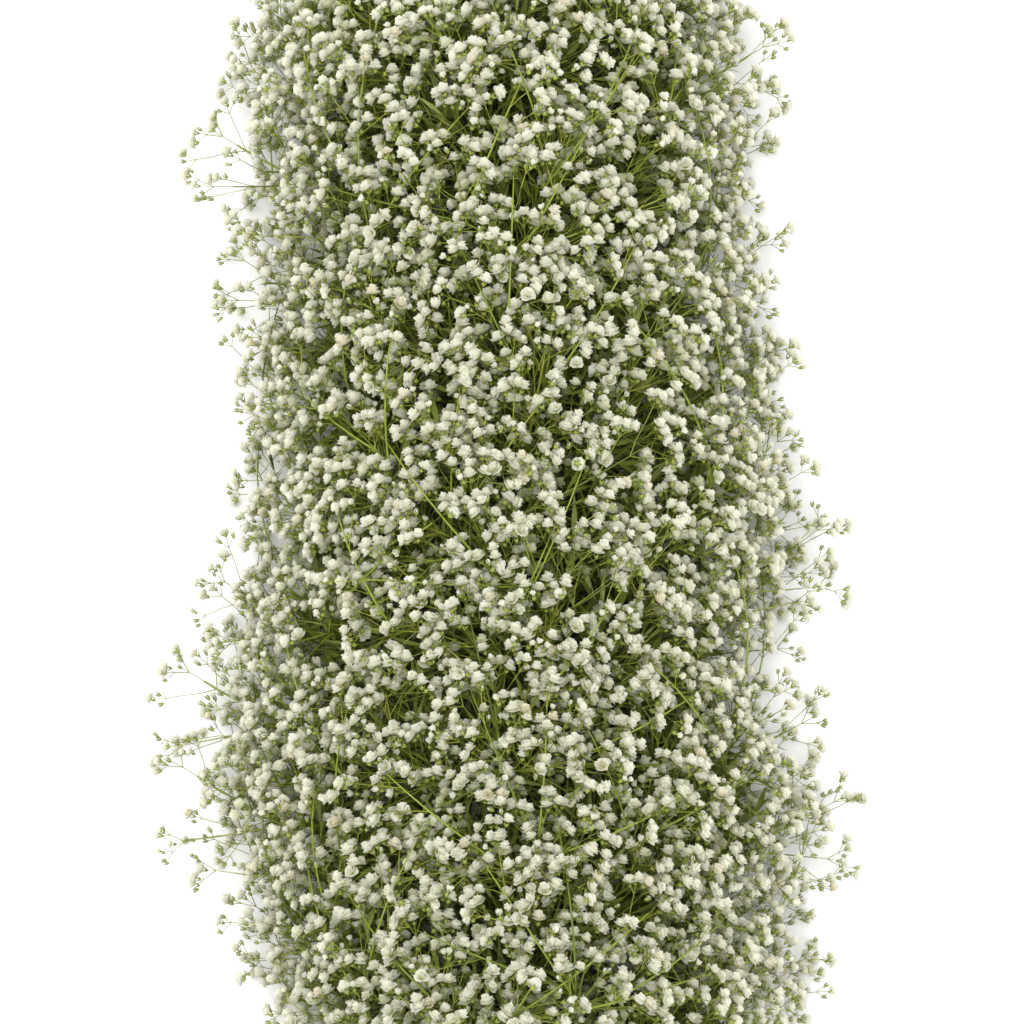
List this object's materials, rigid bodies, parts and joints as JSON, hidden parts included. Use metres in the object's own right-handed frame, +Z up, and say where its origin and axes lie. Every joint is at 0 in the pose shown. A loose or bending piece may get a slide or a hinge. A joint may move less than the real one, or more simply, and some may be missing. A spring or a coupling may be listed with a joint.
{
  "type": "gypsophila garland",
  "caption": "Dense garland of white double gypsophila: cut sprays bound along a central cord, lying on a surface with all their tips pointing one way.",
  "frame": {"origin": "on the surface that the garland lies on, under the middle of its bounding box", "axes": "+Y along the cord towards the tips of the sprays, +X to the right across the width, +Z up"},
  "size_m": [0.4228, 0.7557, 0.1425],
  "materials": {
    "spray": "matte",
    "cord": "matte",
    "tie": "matte"
  },
  "bodies": {
    "root": {"binding_cord": "cord", "left_spray_01": "spray", "left_spray_02": "spray", "left_spray_03": "spray", "left_spray_04": "spray", "left_spray_05": "spray", "left_spray_06": "spray", "left_spray_07": "spray", "left_spray_08": "spray", "left_spray_09": "spray", "left_spray_10": "spray", "left_spray_11": "spray", "right_spray_01": "spray", "right_spray_02": "spray", "right_spray_03": "spray", "right_spray_04": "spray", "right_spray_05": "spray", "right_spray_06": "spray", "right_spray_07": "spray", "right_spray_08": "spray", "right_spray_09": "spray", "right_spray_10": "spray", "right_spray_11": "spray", "shoulder_spray_01": "spray", "shoulder_spray_02": "spray", "shoulder_spray_03": "spray", "shoulder_spray_04": "spray", "shoulder_spray_05": "spray", "shoulder_spray_06": "spray", "shoulder_spray_07": "spray", "shoulder_spray_08": "spray", "shoulder_spray_09": "spray", "shoulder_spray_10": "spray", "tie_01": "tie", "tie_02": "tie", "tie_03": "tie", "tie_04": "tie", "tie_05": "tie", "tie_06": "tie", "tie_07": "tie", "tie_08": "tie", "tie_09": "tie", "tie_10": "tie", "top_spray_01": "spray", "top_spray_02": "spray", "top_spray_03": "spray", "top_spray_04": "spray", "top_spray_05": "spray", "top_spray_06": "spray", "top_spray_07": "spray", "top_spray_08": "spray", "top_spray_09": "spray", "top_spray_10": "spray"}
  },
  "joints": []
}
